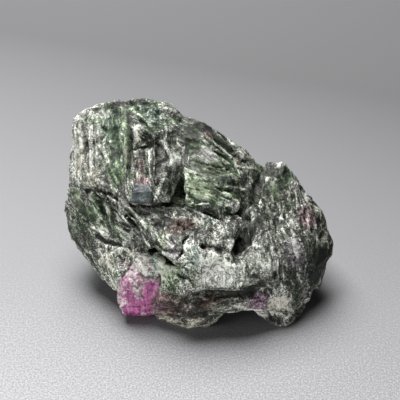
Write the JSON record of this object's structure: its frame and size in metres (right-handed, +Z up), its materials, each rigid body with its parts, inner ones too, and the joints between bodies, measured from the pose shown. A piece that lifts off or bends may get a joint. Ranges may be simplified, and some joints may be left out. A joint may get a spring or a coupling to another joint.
{
  "type": "mineral specimen",
  "caption": "Rough lump of fibrous green and white matrix rock with a magenta ruby crystal set low in one front corner.",
  "frame": {"origin": "middle of the lump's outline in plan, at the ground it lies on", "axes": "+X along the lump's long side, to the right when its broken face with the ruby is seen; +Y to the back; +Z up"},
  "size_m": [0.0674, 0.0475, 0.0385],
  "materials": {
    "matrix_rock": "rough fibrous green and white rock with silky mica",
    "ruby": "translucent magenta, dull waxy crystal faces",
    "blue_grey_crystal": "blue-grey crystal with a pink weathered top"
  },
  "bodies": {
    "root": {"matrix": "matrix_rock", "ruby_crystal": "ruby", "blue_crystal": "blue_grey_crystal"}
  },
  "joints": []
}
